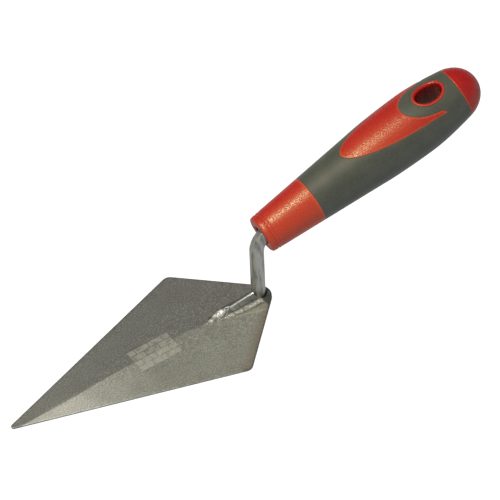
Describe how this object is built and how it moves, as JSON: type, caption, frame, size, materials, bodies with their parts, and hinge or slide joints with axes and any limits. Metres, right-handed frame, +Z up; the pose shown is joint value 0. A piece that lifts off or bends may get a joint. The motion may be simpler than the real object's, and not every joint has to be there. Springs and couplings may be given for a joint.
{
  "type": "pointing trowel",
  "caption": "Kite-shaped steel pointing trowel with a bent, welded tang and a two-material handle that has a soft grip and a hang hole.",
  "frame": {"origin": "on the blade's underside, below the upright of the tang", "axes": "+X towards the end of the handle, the blade's tip points along -X; +Y across the blade; +Z up, away from the blade's flat underside"},
  "size_m": [0.2744, 0.0756, 0.0801],
  "materials": {
    "blade_steel": "matte ground",
    "tang_steel": "satin forged",
    "weld_metal": "rough weld bead",
    "red_plastic": "satin moulded",
    "soft_grip": "matte moulded"
  },
  "bodies": {
    "root": {"blade": "blade_steel", "tang": "tang_steel", "weld_toe": "weld_metal", "weld_left": "weld_metal", "weld_right": "weld_metal", "weld_heel": "weld_metal", "handle_core": "red_plastic", "soft_grip": "soft_grip"}
  },
  "joints": []
}
